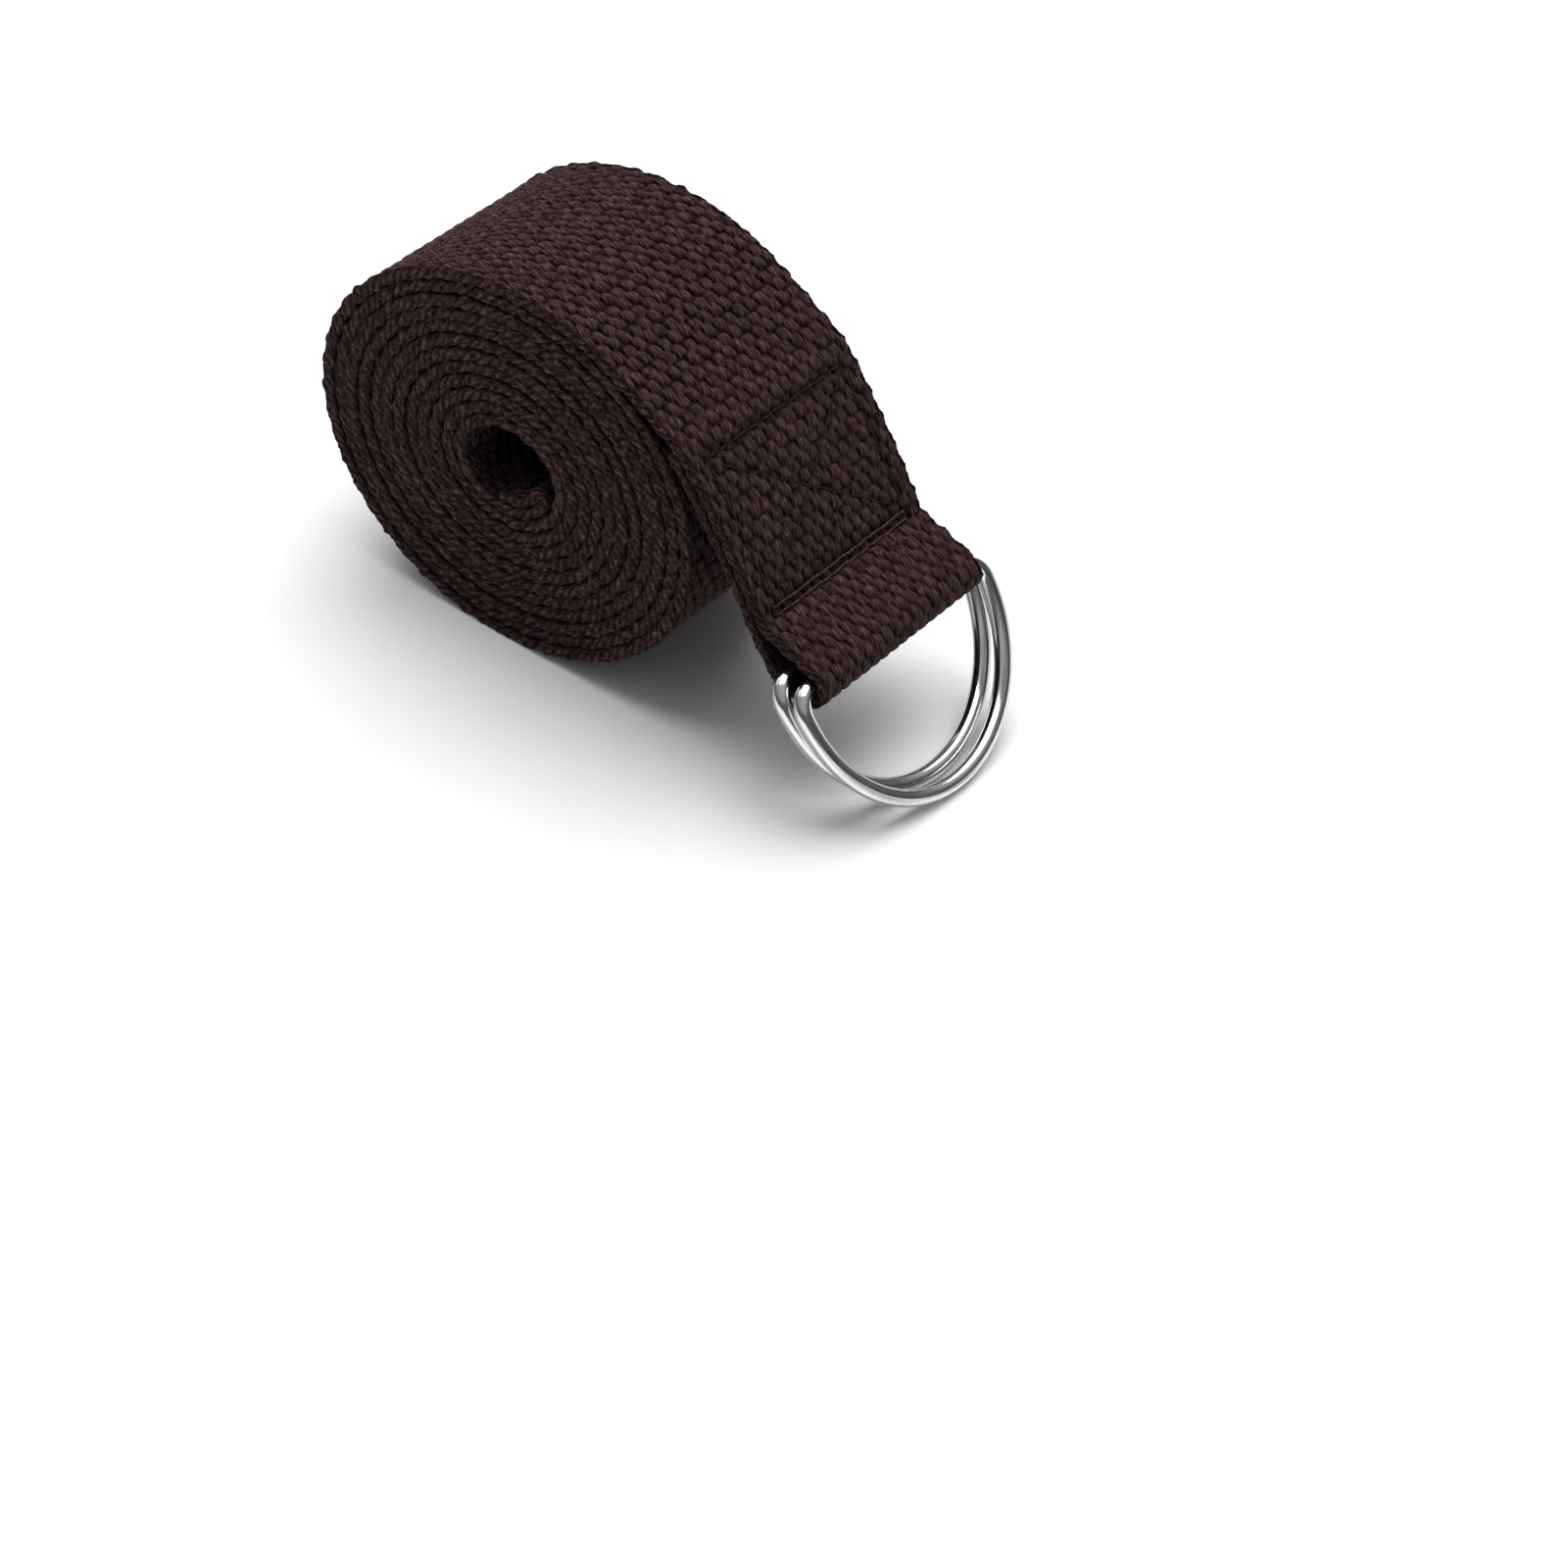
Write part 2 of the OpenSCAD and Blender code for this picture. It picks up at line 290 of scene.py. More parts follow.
def yarn_height(s, v, j, side):
    """Height of yarn j above the cloth's middle, and its plies' own wave from -1 to 1."""
    turn = s / PERIOD + 0.5 * (j % 2) + 0.5 * side + 0.035 * np.sin(s / 6.1 + j * 2.3)
    wave = np.cos(2 * np.pi * turn)
    wave = np.sign(wave) * np.abs(wave) ** WAVE_POWER
    inner = np.abs(j) < OUTER_YARN
    swing = np.where(inner, np.where(wave < 0, YARN_DIVE, YARN_SWING), EDGE_YARN_SWING)
    brick = np.round(turn)
    lift = BRICK_LIFT * (scatter(j + 40 * side, brick) - 0.5) * np.clip(wave, 0, 1)
    lean = BRICK_LEAN * (turn - brick) * PERIOD + BRICK_SHIFT * (scatter(brick, j + 11.0) - 0.5)
    across = (v - j * YARN_STEP - 0.06 * np.sin(s / 9.0 + j * 1.7) - lean * inner) / YARN_HALF
    plies = np.cos(2 * np.pi * (v + PLY_SKEW * s) / PLY_STEP + 6.3 * scatter(brick, j + 5.0))
    height = swing * wave + lift + YARN_RISE * np.sqrt(np.clip(1 - np.abs(across) ** YARN_ROUND, 0, None))
    return height + PLY_RISE * plies, plies


def relief(s, v, side):
    """Height of the cloth's surface above its middle, on the outer (0) or inner (1) side, and its painted
    shade.
    """
    j = np.round(v / YARN_STEP)
    best = np.full(np.broadcast(s, v).shape, PIT_FLOOR)
    plies = np.full(best.shape, -1.0)
    for k in (-1, 0, 1):
        near = np.clip(j + k, -OUTER_YARN, OUTER_YARN)
        height, wave = yarn_height(s, v, near, side)
        plies = np.where(height > best, wave, plies)
        best = np.maximum(best, height)
    pressed = PRESSED * np.clip((s - S_LEAVE) / PRESSED_OVER, 0, 1)
    best = best + pressed * (YARN_HIGH - best)
    # Painted shade: darker where the surface is lower and in the plies' hollows, lighter on the crests
    return best, np.clip((best - SHADE_FROM) / SHADE_OVER, 0, 1) * (1 - PLY_SHADE + PLY_SHADE * plies)


def gap_to(s, v, a, b):
    """Distance in the cloth from the line between a and b, each [station, place across]."""
    d = np.array(b, float) - np.array(a, float)
    t = np.clip(((s - a[0]) * d[0] + (v - a[1]) * d[1]) / (d @ d), 0, 1)
    return np.hypot(s - a[0] - t * d[0], v - a[1] - t * d[1])


CROSS_FROM = FAR_ROW + CROSS_INSET
CROSS_TO = RING_ROWS[0] - CROSS_INSET
CROSS_HALF = BOX_HALF - CROSS_INSET
FAR_SEAM = [([FAR_ROW, -BOX_HALF], [FAR_ROW, BOX_HALF])]
RING_SEAMS = [([row, -BOX_HALF], [row, BOX_HALF]) for row in RING_ROWS]
SIDE_SEAMS = [([CROSS_FROM, y], [CROSS_TO, y]) for y in (-BOX_HALF, BOX_HALF)]
CROSS_SEAMS = [([CROSS_FROM, -y], [CROSS_TO, y]) for y in (-CROSS_HALF, CROSS_HALF)]
GROOVES = (
    (FAR_SEAM, 0.62, 0.40),
    (RING_SEAMS, 0.42, 0.7),
    (SIDE_SEAMS, 0.30, 0.42),
    (CROSS_SEAMS, 0.22, 0.38),
)


def groove(s, v):
    """How far the sewing presses the outer side in. Each groove has its seams, depth and spread."""
    t, v = np.broadcast_arrays(np.interp(s, reach, station), v)
    deep = np.zeros(t.shape)
    for seams, depth, spread in GROOVES:
        for a, b in seams:
            deep = np.maximum(deep, depth * np.exp(-0.5 * (gap_to(t, v, a, b) / spread) ** 2))
    return deep


def half_gap(s):
    """Half of the space that a turn has between its neighbours, which its edges fill."""
    nx = np.interp(s, grid, normal[:, 0])
    wound = np.clip((S_LEAVE - 10 - s) / 20, 0, 1) * np.clip((s - S_FOLD) / 10, 0, 1)
    return STRAP_T / 2 + wound * (0.155 + 0.145 * nx ** 2)


def selvedge(s):
    """The strap's edge from the outer side round to the inner side: places across, heights and painted
    shades.
    """
    angle = EDGE_ANGLES[None, :]
    turn = 2 * np.pi * s / PERIOD
    upper = np.cos(turn + ROW_LEAN * angle) * np.exp(-((angle - ROW_ANGLE) / ROW_ANGLE) ** 2)
    lower = np.cos(turn + np.pi + ROW_LEAN * angle) * np.exp(-((angle + ROW_ANGLE) / ROW_ANGLE) ** 2)
    bulge = np.clip(BULGE_BASE + BULGE_GAIN * np.maximum(upper, lower), 0, BULGE_TOP)
    half = half_gap(s)
    border = at(s + 0 * angle, np.sign(angle) * half)
    rough = ripple(border, 2.3)
    (round_a, along_a, uneven_a, share_a), (round_b, along_b, uneven_b, share_b) = STRANDS
    waver = 0.8 * np.sin(s / 2.9)
    strands = share_a * np.sin(2 * np.pi * (ROUND_EDGE / round_a + s / along_a) + waver + uneven_a * rough)
    strands = strands + share_b * np.sin(2 * np.pi * (ROUND_EDGE / round_b + s / along_b) + uneven_b * rough)
    away = AWAY["base"] + AWAY["bulge"] * bulge + AWAY["strands"] * strands
    away = away + AWAY["rough"] * ripple(border, 1.7)
    edge_v = OUTER_YARN * YARN_STEP + away * np.cos(angle) ** 0.7
    upright = np.abs(np.sin(angle))
    mid = 0.07 * np.cos(turn) + 0.12 * (scatter(np.round(s / PERIOD * 2), 3.0) - 0.5)
    reach_h = half + REACH["bulge"] * (bulge - REACH["middle"]) + REACH["rough"] * rough
    edge_h = mid * (1 - upright) + reach_h * np.sign(angle) * upright ** 0.75
    edge_h = edge_h + REACH["wave"] * ripple(border, 3.1) * upright
    # Painted shade in the gaps where this turn's edge meets its neighbours
    painted_gap_shade = np.clip(PAINTED_GAP_SHADE["base"] + PAINTED_GAP_SHADE["rough"] * ripple(border, 2.6), 0, 1)
    painted_gap_shade = painted_gap_shade * (1 - np.cos(angle) ** PAINTED_GAP_SHADE["power"])
    # Painted shade: lighter on the bulges and darker between the strands
    shade = EDGE_SHADE["base"] + EDGE_SHADE["bulge"] * bulge + EDGE_SHADE["strands"] * strands
    shade = (shade + EDGE_SHADE["rough"] * ripple(border, 0.9)) * (1 - painted_gap_shade)
    return edge_v, edge_h, shade


# ---- Meshes ----

def mesh_from(name, verts, faces_4, ends, uv, painted_shade):
    """A mesh of quads with flat end faces, a UV map along the strap and the painted shade at each point."""
    me = bpy.data.meshes.new(name)
    me.vertices.add(len(verts))
    me.vertices.foreach_set("co", np.asarray(verts, np.float32).ravel())
    loops = np.concatenate([faces_4.ravel(), *ends]).astype(np.int32)
    sizes = np.array([4] * len(faces_4) + [len(end) for end in ends])
    starts = (np.cumsum(sizes) - sizes).astype(np.int32)
    me.loops.add(len(loops))
    me.loops.foreach_set("vertex_index", loops)
    me.polygons.add(len(starts))
    me.polygons.foreach_set("loop_start", starts)
    smooth = np.ones(len(starts), bool)
    smooth[len(faces_4):] = False
    me.polygons.foreach_set("use_smooth", smooth)
    me.update(calc_edges=True)
    layer = me.uv_layers.new(name="strap")
    layer.data.foreach_set("uv", np.asarray(uv, np.float32)[loops].ravel())
    # The painted shade is stored in the attribute relief
    attribute = me.attributes.new("relief", "FLOAT", "POINT")
    attribute.data.foreach_set("value", np.asarray(painted_shade, np.float32))
    me.validate()
    ob = bpy.data.objects.new(name, me)
    bpy.context.collection.objects.link(ob)
    return ob


def grid_faces(rows, cols):
    i = np.arange(rows - 1)[:, None] * cols
    j = np.arange(cols)[None, :]
    k = (j + 1) % cols
    return np.stack([i + j, i + k, i + cols + k, i + cols + j], -1).reshape(-1, 4)


def ribbon(name, s0, s1, ds=STEP, fine_out=True, fine_in=True):
    """A length of the webbing between two distances along it, as one closed mesh."""
    n = max(2, int(math.ceil((s1 - s0) / ds)))
    s = np.linspace(s0, s1, n + 1)[:, None]
    out_v = FINE_V if fine_out else EDGE_V
    in_v = (FINE_V if fine_in else EDGE_V)[::-1]
    h_out, shade_out = relief(s, out_v[None, :], 0)
    h_in, shade_in = relief(s, in_v[None, :], 1)
    deep = groove(s, out_v[None, :])
    # Painted shade in the grooves that the sewing presses in
    shade_out = shade_out * (1 - GROOVE_SHADE * deep)
    if not fine_out:
        h_out[:, HIDDEN] = half_gap(s)
    if not fine_in:
        h_in[:, HIDDEN] = half_gap(s)
    edge_v, edge_h, edge_shade = selvedge(s)
    ones = np.ones_like(s)
    v = np.concatenate([ones * out_v, edge_v, ones * in_v, -edge_v[:, ::-1]], 1)
    h = np.concatenate([h_out - deep, edge_h, -h_in, -edge_h], 1)
    shade = np.concatenate([shade_out, edge_shade, shade_in, edge_shade[:, ::-1]], 1)
    rows, cols = v.shape
    ss = np.broadcast_to(s, v.shape)
    p = at(ss.ravel(), h.ravel())
    y = v.ravel() + wander(ss.ravel())
    verts = np.stack([p[:, 0], y, p[:, 1]], 1) * MM
    side = np.concatenate([0 * out_v, 0 * ROUND_EDGE, 0 * in_v + 1, 0 * ROUND_EDGE])
    across = v + np.concatenate([0 * out_v, ROUND_EDGE, 0 * in_v, -ROUND_EDGE])
    uv = np.stack([ss.ravel() * UV_PER_MM, across.ravel() * UV_PER_MM + np.tile(side, rows)], 1)
    ends = [np.arange(cols)[::-1], (rows - 1) * cols + np.arange(cols)]
    ob = mesh_from(name, verts, grid_faces(rows, cols), ends, uv, np.clip(shade, 0, 1).ravel())
    ob.data.materials.append(webbing_material)
    return ob


def tube(name, runs, radius, sides, material, lobes=0, twist=0.0, closed=False):
    """Round or plied lines of thread or wire through the given points, in millimetres."""
    all_verts, all_faces, all_ends, all_uv, all_shade = [], [], [], [], []
    base = 0
    for pts in runs:
        rows = len(pts)
        if closed:
            d = np.roll(pts, -1, 0) - np.roll(pts, 1, 0)
        else:
            d = np.gradient(pts, axis=0)
        d /= np.linalg.norm(d, axis=1)[:, None]
        length = np.concatenate([[0], np.cumsum(np.linalg.norm(np.diff(pts, axis=0), axis=1))])
        ref = np.zeros_like(d)
        a = np.array([0.0, 0.0, 1.0]) if abs(d[0, 2]) < 0.9 else np.array([1.0, 0.0, 0.0])
        for i in range(rows):
            a = a - d[i] * (a @ d[i])
            a /= np.linalg.norm(a)
            ref[i] = a
        other = np.cross(d, ref)
        phi = np.linspace(0, 2 * np.pi, sides, endpoint=False)[None, :]
        spin = 2 * np.pi * twist * length[:, None]
        r = radius * (1 + LOBE_DEPTH * (lobes > 0) * np.cos(lobes * phi - spin))
        outwards = np.cos(phi)[..., None] * ref[:, None, :] + np.sin(phi)[..., None] * other[:, None, :]
        all_verts.append((pts[:, None, :] + r[..., None] * outwards).reshape(-1, 3))
        faces = grid_faces(rows, sides)
        first = np.arange(sides)
        last = (rows - 1) * sides + first
        if closed:
            faces = np.concatenate([faces, np.stack([last, np.roll(last, -1), np.roll(first, -1), first], 1)])
        else:
            all_ends += [first[::-1] + base, last + base]
        all_faces.append(faces + base)
        turned_by = np.tile(phi[0] * radius, rows)
        all_uv.append(np.stack([np.repeat(length, sides) * UV_PER_MM, turned_by * UV_PER_MM], 1))
        # Painted shade for the thread's plies: light at the lobes' places round the tube, dark between them,
        # not turning with the twist
        all_shade.append(np.tile(0.5 + 0.5 * np.cos(lobes * phi[0]), rows))
        base += rows * sides
    ob = mesh_from(name, np.concatenate(all_verts) * MM, np.concatenate(all_faces), all_ends,
                   np.concatenate(all_uv), np.concatenate(all_shade))
    ob.data.materials.append(material)
    return ob


# ---- Materials ----

def nodes_of(name):
    m = bpy.data.materials.new(name)
    m.use_nodes = True
    n = m.node_tree
    n.nodes.clear()
    out = n.nodes.new("ShaderNodeOutputMaterial")
    shader = n.nodes.new("ShaderNodeBsdfPrincipled")
    n.links.new(shader.outputs[0], out.inputs[0])
    return m, n, shader


def math_node(n, op, a, b):
    node = n.nodes.new("ShaderNodeMath")
    node.operation = op
    for k, x in enumerate((a, b)):
        if isinstance(x, (int, float)):
            node.inputs[k].default_value = x
        else:
            n.links.new(x, node.inputs[k])
    return node.outputs[0]


def weighted(n, a, a_share, b, b_share):
    return math_node(n, "ADD", math_node(n, "MULTIPLY", a, a_share), math_node(n, "MULTIPLY", b, b_share))


def noise(n, vector, scale, detail, rough):
    node = n.nodes.new("ShaderNodeTexNoise")
    node.inputs["Scale"].default_value = scale
    node.inputs["Detail"].default_value = detail
    node.inputs["Roughness"].default_value = rough
    n.links.new(vector, node.inputs["Vector"])
    return node.outputs["Fac"]


def ramp(n, fac, stops):
    node = n.nodes.new("ShaderNodeValToRGB")
    e = node.color_ramp.elements
    while len(e) < len(stops):
        e.new(0.5)
    for k, (pos, col) in enumerate(stops):
        e[k].position = pos
        e[k].color = (*col, 1)
    n.links.new(fac, node.inputs[0])
    return node.outputs[0]


def multiplied(n, a, b):
    node = n.nodes.new("ShaderNodeMix")
    node.data_type = "RGBA"
    node.blend_type = "MULTIPLY"
    node.inputs[0].default_value = 1.0
    n.links.new(a, node.inputs[6])
    n.links.new(b, node.inputs[7])
    return node.outputs[2]


def bumped(n, shader, height, strength, distance):
    bump = n.nodes.new("ShaderNodeBump")
    bump.inputs["Strength"].default_value = strength
    bump.inputs["Distance"].default_value = distance
    n.links.new(height, bump.inputs["Height"])
    n.links.new(bump.outputs[0], shader.inputs["Normal"])


def strap_coordinates(n, along, across, skew=0.0):
    """Texture coordinates from the UV map, with this many noise cells per millimetre along and across."""
    uv = n.nodes.new("ShaderNodeUVMap")
    uv.uv_map = "strap"
    split = n.nodes.new("ShaderNodeSeparateXYZ")
    n.links.new(uv.outputs[0], split.inputs[0])
    s = math_node(n, "MULTIPLY", split.outputs[0], 1 / UV_PER_MM)
    v = math_node(n, "MULTIPLY", split.outputs[1], 1 / UV_PER_MM)
    v = math_node(n, "ADD", v, math_node(n, "MULTIPLY", s, skew))
    join = n.nodes.new("ShaderNodeCombineXYZ")
    n.links.new(math_node(n, "MULTIPLY", s, along), join.inputs[0])
    n.links.new(math_node(n, "MULTIPLY", v, across), join.inputs[1])
    return join.outputs[0]


def cloth_material(name, pit, body, crest, fuzz, fibre_skew):
    """Cotton, with painted shade in the pits and painted light on the crests, and fibres and finer hairs
    along the yarns.
    """
    m, n, shader = nodes_of(name)
    # The relief attribute carries the painted shade of pits, plies, grooves, the selvedge and thread plies
    height = n.nodes.new("ShaderNodeAttribute")
    height.attribute_name = "relief"
    fibres = noise(n, strap_coordinates(n, 0.60, 2.1, fibre_skew), 1.0, 2.0, 0.5)
    hairs = noise(n, strap_coordinates(n, 1.0, 3.9, fibre_skew), 1.0, 2.0, 0.5)
    patches = noise(n, strap_coordinates(n, 0.16, 0.24), 1.0, 3.0, 0.55)
    level = weighted(n, height.outputs["Fac"], 0.80, fibres, 0.40)
    colour = ramp(n, level, [(0.30, pit), (0.58, body), (1.0, crest)])
    for pattern, low, dark, high, light in (
        (patches, 0.3, (0.84, 0.82, 0.82), 0.7, (1.14, 1.14, 1.15)),
        (fibres, 0.36, (0.62, 0.56, 0.56), 0.64, (1.40, 1.44, 1.44)),
        (hairs, 0.34, (0.50, 0.44, 0.44), 0.66, (1.50, 1.55, 1.55)),
    ):
        colour = multiplied(n, colour, ramp(n, pattern, [(low, dark), (high, light)]))
    n.links.new(colour, shader.inputs["Base Color"])
    rough = math_node(n, "ADD", math_node(n, "MULTIPLY", hairs, 0.2), 0.76)
    n.links.new(rough, shader.inputs["Roughness"])
    shader.inputs["Specular IOR Level"].default_value = 0.10
    shader.inputs["Specular Tint"].default_value = (1.0, 0.75, 0.75, 1)
    shader.inputs["Sheen Weight"].default_value = fuzz
    shader.inputs["Sheen Roughness"].default_value = 0.42
    shader.inputs["Sheen Tint"].default_value = (0.80, 0.68, 0.68, 1)
    bumped(n, shader, weighted(n, fibres, 0.8, hairs, 0.7), 0.9, 0.00040)
    return m


def metal_material(name):
    """Bright plated wire, a little cloudy, with painted dark reflection streaks along it."""
    m, n, shader = nodes_of(name)
    co = n.nodes.new("ShaderNodeTexCoord").outputs["Object"]
    cloud = noise(n, co, 260.0, 4.0, 0.6)
    fine = noise(n, co, 2600.0, 3.0, 0.5)
    streak_noise = noise(n, strap_coordinates(n, 0.030, 1.25), 1.0, 2.0, 0.5)
    tint = ramp(n, cloud, [(0.3, (0.76, 0.77, 0.78)), (0.75, (0.90, 0.90, 0.90))])
    # Painted reflection: dark streaks along the wire stand in for the dark surroundings it reflects
    painted_reflection_streaks = ramp(n, streak_noise, [(0.40, (0.42, 0.42, 0.43)), (0.55, (1.0, 1.0, 1.0))])
    n.links.new(multiplied(n, tint, painted_reflection_streaks), shader.inputs["Base Color"])
    shader.inputs["Metallic"].default_value = 1.0
    rough = math_node(n, "ADD", math_node(n, "MULTIPLY", cloud, 0.10), 0.085)
    n.links.new(rough, shader.inputs["Roughness"])
    bumped(n, shader, fine, 0.12, 0.00004)
    return m


FIBRE_SKEW = 0.22
THREAD_SKEW = 1.2
webbing_material = cloth_material("webbing_cotton", (0.0035, 0.0008, 0.0008), (0.0285, 0.0132, 0.0136),
                                  (0.076, 0.0440, 0.0450), 0.05, FIBRE_SKEW)
thread_material = cloth_material("sewing_thread", (0.010, 0.004, 0.004), (0.028, 0.013, 0.013),
                                 (0.050, 0.028, 0.027), 0.05, THREAD_SKEW)
worn_thread_material = cloth_material("sewing_thread_worn", (0.030, 0.014, 0.013), (0.075, 0.041, 0.037),
                                      (0.120, 0.073, 0.066), 0.06, THREAD_SKEW)
ring_material = metal_material("ring_nickel")


# ---- The webbing ----

# Where the strap is split into pieces, and how far its two bends reach, in millimetres along it
CORE_TO = S_FOLD + 62.0
OUTER_FROM = S_LEAVE - 232.0
SPLIT = (CORE_TO + OUTER_FROM) / 2 + 60
BEND_FROM = S_LEAVE - 20.0


core = ribbon("woven_core", 0.0, CORE_TO, CORE_STEP)
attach(core, "roll")
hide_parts("webbing_roll", "webbing_hem")
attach(ribbon("woven_inner_turns", CORE_TO, SPLIT, fine_out=False, fine_in=False), "roll")
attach(ribbon("woven_middle_turns", SPLIT, OUTER_FROM, fine_out=False, fine_in=False), "roll")
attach(ribbon("woven_outer_turn", OUTER_FROM, BEND_FROM, fine_in=False), "roll")

tail = ribbon("woven_tail", BEND_FROM, tail_at(LAP_SPLIT))
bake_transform(tail)
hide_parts("webbing_tail")
underlap = ribbon("woven_underlap", underlap_at(LAP_SPLIT), S_END)
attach(underlap, "sewn_end")
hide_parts("webbing_underlap")
loop = ribbon("woven_ring_loop", tail_at(LAP_SPLIT), underlap_at(LAP_SPLIT))
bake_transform(loop)
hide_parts("webbing_ring_loop")


# ---- The sewing ----

def dips(t, count):
    """How far a thread dips, from 0 over a stitch to 1 between two stitches, for t from 0 to 1."""
    return 1 - np.abs(np.sin(np.pi * t * count)) ** STITCH_POWER


def sewn_line(a, b, place, level, drop):
    """One thread between a and b, each [station, place across], on the outer side at place(station)."""
    a = np.array(a, float)
    b = np.array(b, float)
    length = np.linalg.norm(b - a)
    count = max(1, round(length / STITCH))
    t = np.linspace(0, 1, count * STITCH_POINTS + 1)
    spots = a + (b - a) * t[:, None]
    dip = dips(t, count)
    dip[0] = dip[-1] = END_DIP
    wobble = 0.06 * np.sin(t * length * 0.9 + a[1]) + 0.03 * np.sin(t * length * 2.3)
    p = at(place(spots[:, 0] + wobble), level - dip * drop)
    return np.stack([p[:, 0], spots[:, 1], p[:, 1]], 1)


def thread(name, runs, radius, body, node, material):
    ob = tube(name, runs, radius, THREAD_SIDES, material, THREAD_LOBES, THREAD_TWIST)
    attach(ob, body)
    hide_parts(node)


for name, seams, level, drop, radius, node, material in (
    ("thread_far_row", FAR_SEAM, 0.42, 0.5, 0.2, "far_row_stitches", thread_material),
    ("thread_ring_rows", RING_SEAMS, 0.68, 0.30, 0.17, "ring_row_stitches", worn_thread_material),
    ("thread_box_sides", SIDE_SEAMS, 0.62, 0.5, 0.18, "box_side_stitches", thread_material),
    ("thread_box_cross", CROSS_SEAMS, 0.66, 0.5, 0.16, "box_cross_stitches", thread_material),
):
    runs = [sewn_line(a, b, place, level, drop) for a, b in seams for place in (tail_at, underlap_at)]
    thread(name, runs, radius, "sewn_end", node, material)

hem_t = np.linspace(0, 1, HEM_STITCHES * STITCH_POINTS + 1)
hem_y = np.linspace(-BOX_HALF, BOX_HALF, len(hem_t))
hem_runs = []
for s_hem in (HEM_LENGTH - HEM_ROW_AT, S_FOLD + HEM_ROW_AT):
    p = at(np.full(len(hem_y), s_hem), 1.0 - 0.8 * dips(hem_t, HEM_STITCHES))
    hem_runs.append(np.stack([p[:, 0], hem_y, p[:, 1]], 1))
thread("thread_hem", hem_runs, 0.19, "roll", "hem_stitches", thread_material)


# ---- The D-rings ----

def d_ring(name, bar, node, body):
    """A ring round its bar's axis, leaning down until the bow rests on the floor."""
    straight = RING_HALF - CORNER_R
    flat = np.concatenate([
        np.stack([np.zeros(60), np.linspace(straight, -straight, 60)], 1),
        arc([CORNER_R, -straight], CORNER_R, 180, 270, 20)[1:],
        arc([CORNER_R, 0], RING_HALF, -90, 90, 150)[1:],
        arc([CORNER_R, straight], CORNER_R, 90, 180, 20)[1:-1],
    ])
    lean = math.asin((bar[1] - WIRE_R) / (CORNER_R + RING_HALF))
    x = bar[0] + flat[:, 0] * math.cos(lean)
    z = bar[1] - flat[:, 0] * math.sin(lean)
    wire = np.stack([x, flat[:, 1], z], 1)
    ob = tube(name, [wire], WIRE_R, 32, ring_material, closed=True)
    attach(ob, body)
    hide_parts(node)


d_ring("inner_ring_wire", inner_bar, "inner_d_ring", "inner_ring")
d_ring("outer_ring_wire", outer_bar, "outer_d_ring", "outer_ring")


# ---- Floor, light and camera ----

FLOOR_HALF = 4
floor_mesh = bpy.data.meshes.new("floor")
corners = [(x * FLOOR_HALF, y * FLOOR_HALF, 0) for x, y in ((-1, -1), (1, -1), (1, 1), (-1, 1))]
floor_mesh.from_pydata(corners, [], [(0, 1, 2, 3)])
floor = bpy.data.objects.new("floor", floor_mesh)
bpy.context.collection.objects.link(floor)
paper, paper_nodes, paper_shader = nodes_of("floor_paper")
paper_co = paper_nodes.nodes.new("ShaderNodeTexCoord").outputs["Object"]
grain = noise(paper_nodes, paper_co, 40.0, 2.0, 0.6)
paper_colour = ramp(paper_nodes, grain, [(0.3, (0.93, 0.93, 0.93)), (0.7, (0.95, 0.95, 0.95))])
paper_nodes.links.new(paper_colour, paper_shader.inputs["Base Color"])
paper_shader.inputs["Roughness"].default_value = 0.9
paper_shader.inputs["Specular IOR Level"].default_value = 0.1
floor_mesh.materials.append(paper)

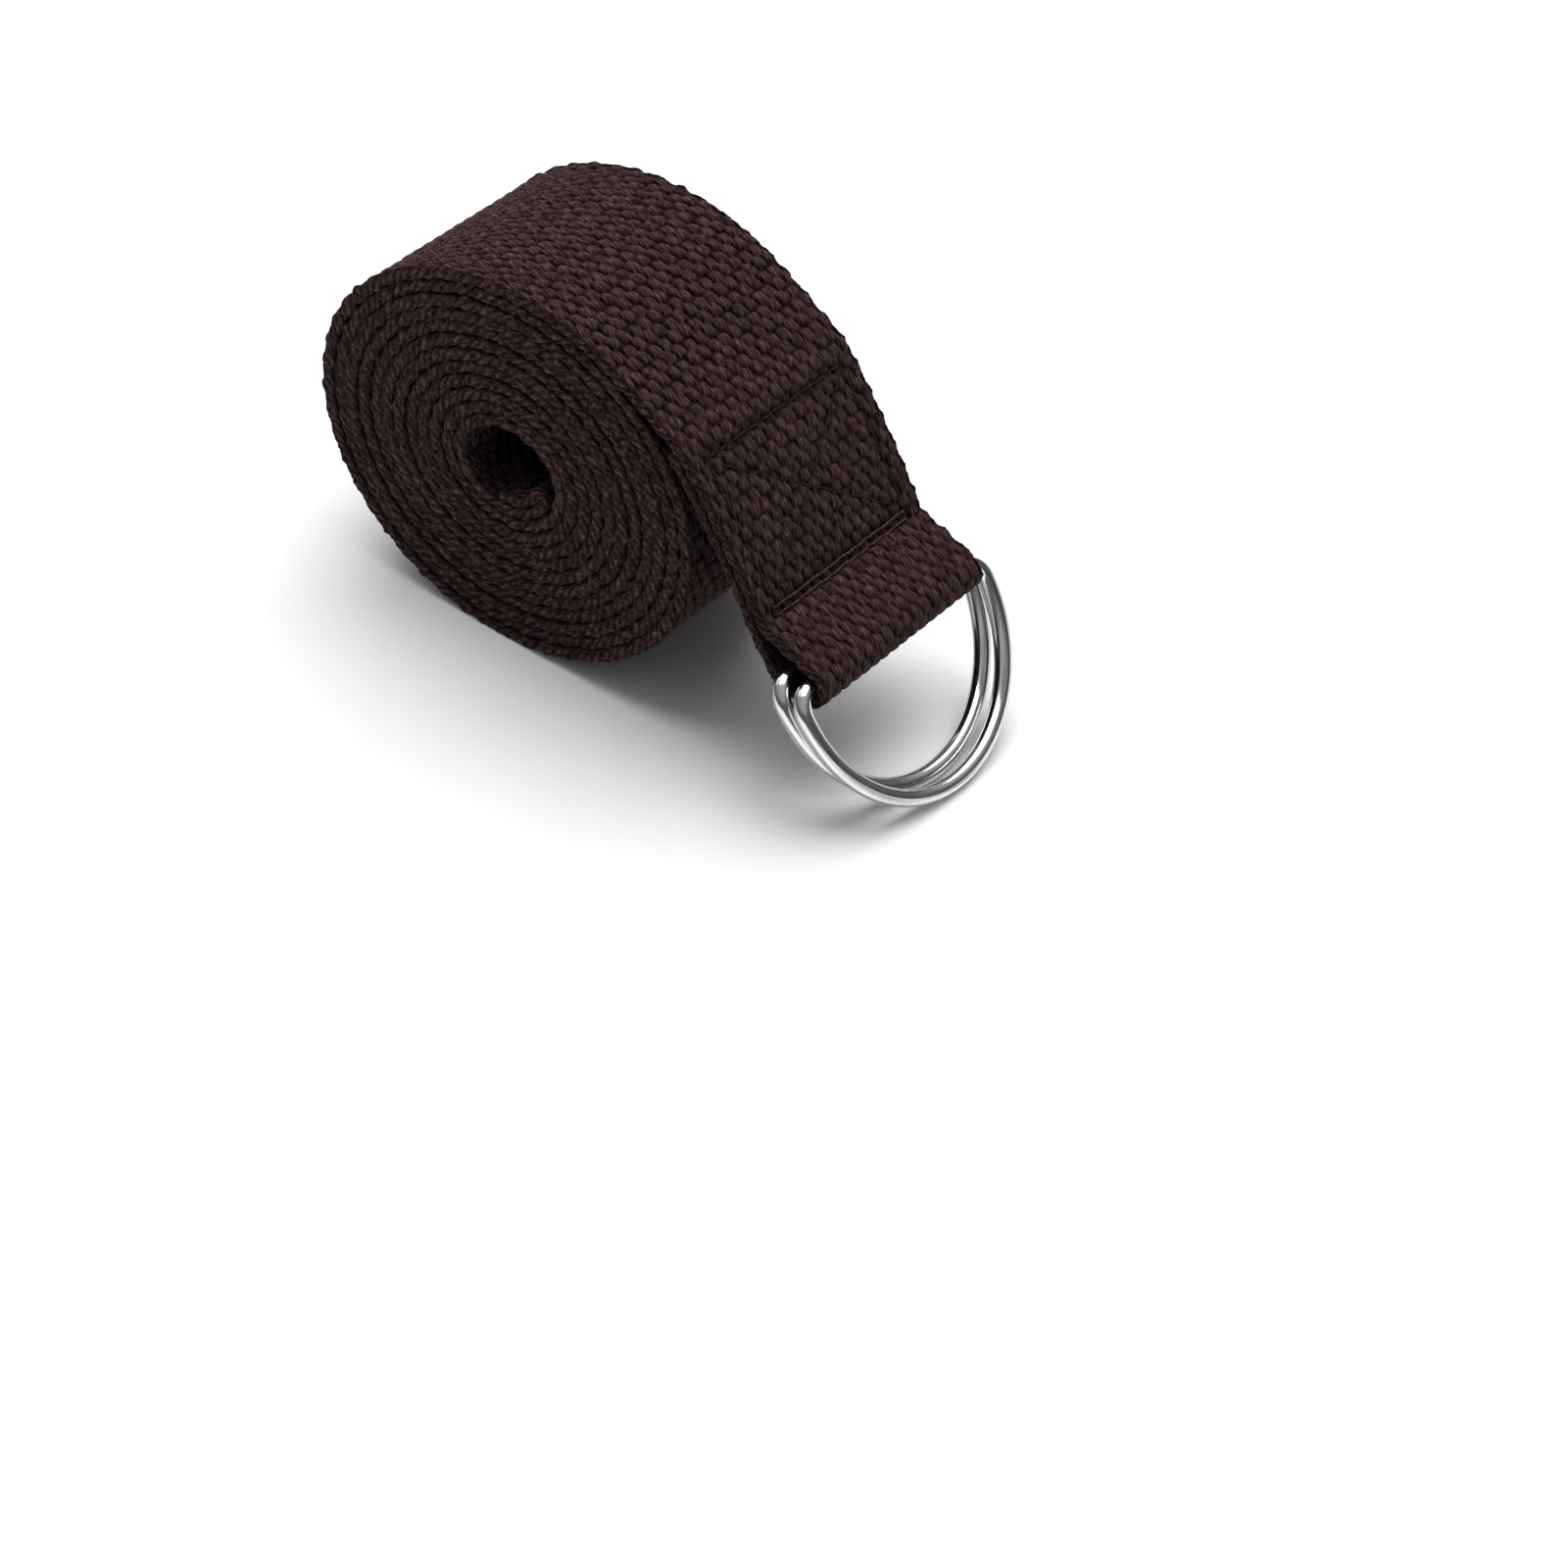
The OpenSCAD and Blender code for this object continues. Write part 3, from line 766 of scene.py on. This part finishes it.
# The sky's brightness against the height of the direction, from the horizon (0) to straight above (1)
SKY = ((0.0, 0.5), (0.12, 0.14), (0.40, 0.16), (0.62, 0.50), (1.0, 0.6))
SKY_STRENGTH = 0.72
world = bpy.data.worlds.new("studio")
bpy.context.scene.world = world
world.use_nodes = True
sky_nodes = world.node_tree
sky_nodes.nodes.clear()
world_out = sky_nodes.nodes.new("ShaderNodeOutputWorld")
background = sky_nodes.nodes.new("ShaderNodeBackground")
direction = sky_nodes.nodes.new("ShaderNodeTexCoord")
split = sky_nodes.nodes.new("ShaderNodeSeparateXYZ")
sky_nodes.links.new(direction.outputs["Generated"], split.inputs[0])
sky_colour = ramp(sky_nodes, split.outputs[2], [(height, (level, level, level)) for height, level in SKY])
sky_nodes.links.new(sky_colour, background.inputs[0])
sky_nodes.links.new(background.outputs[0], world_out.inputs[0])
background.inputs[1].default_value = SKY_STRENGTH

LIGHT_AIM = Vector((-0.01, 0, 0.03))


def softbox(name, loc, size, power):
    light = bpy.data.lights.new(name, "AREA")
    light.shape = "SQUARE"
    light.size = size
    light.energy = power
    ob = bpy.data.objects.new(name, light)
    ob.location = loc
    ob.rotation_euler = (LIGHT_AIM - Vector(loc)).to_track_quat("-Z", "Y").to_euler()
    bpy.context.collection.objects.link(ob)


softbox("softbox_top", (-0.20, 0.30, 1.15), 1.3, 20.0)
softbox("softbox_left", (-0.9, -0.2, 0.8), 0.6, 0.8)

CAMERA_AT = (0.30223, -0.4164, 0.4194)
CAMERA_AZIMUTH, CAMERA_ELEVATION, CAMERA_ROLL = (math.radians(x) for x in (33.87, 41.07, 5.9))
level_right = np.array([math.cos(CAMERA_AZIMUTH), math.sin(CAMERA_AZIMUTH), 0])
forward = np.array([-math.sin(CAMERA_AZIMUTH) * math.cos(CAMERA_ELEVATION),
                    math.cos(CAMERA_AZIMUTH) * math.cos(CAMERA_ELEVATION), -math.sin(CAMERA_ELEVATION)])
level_up = np.cross(level_right, forward)
right = level_right * math.cos(CAMERA_ROLL) + level_up * math.sin(CAMERA_ROLL)
up = level_up * math.cos(CAMERA_ROLL) - level_right * math.sin(CAMERA_ROLL)
cam = bpy.data.cameras.new("camera")
cam.lens = 101.25
cam.sensor_width = 36
cam.clip_start = 0.01
cam_ob = bpy.data.objects.new("camera", cam)
camera_rows = [[right[i], up[i], -forward[i], CAMERA_AT[i]] for i in range(3)]
cam_ob.matrix_world = Matrix(camera_rows + [[0, 0, 0, 1]])
bpy.context.collection.objects.link(cam_ob)
bpy.context.scene.camera = cam_ob
bpy.context.scene.view_settings.view_transform = "Standard"
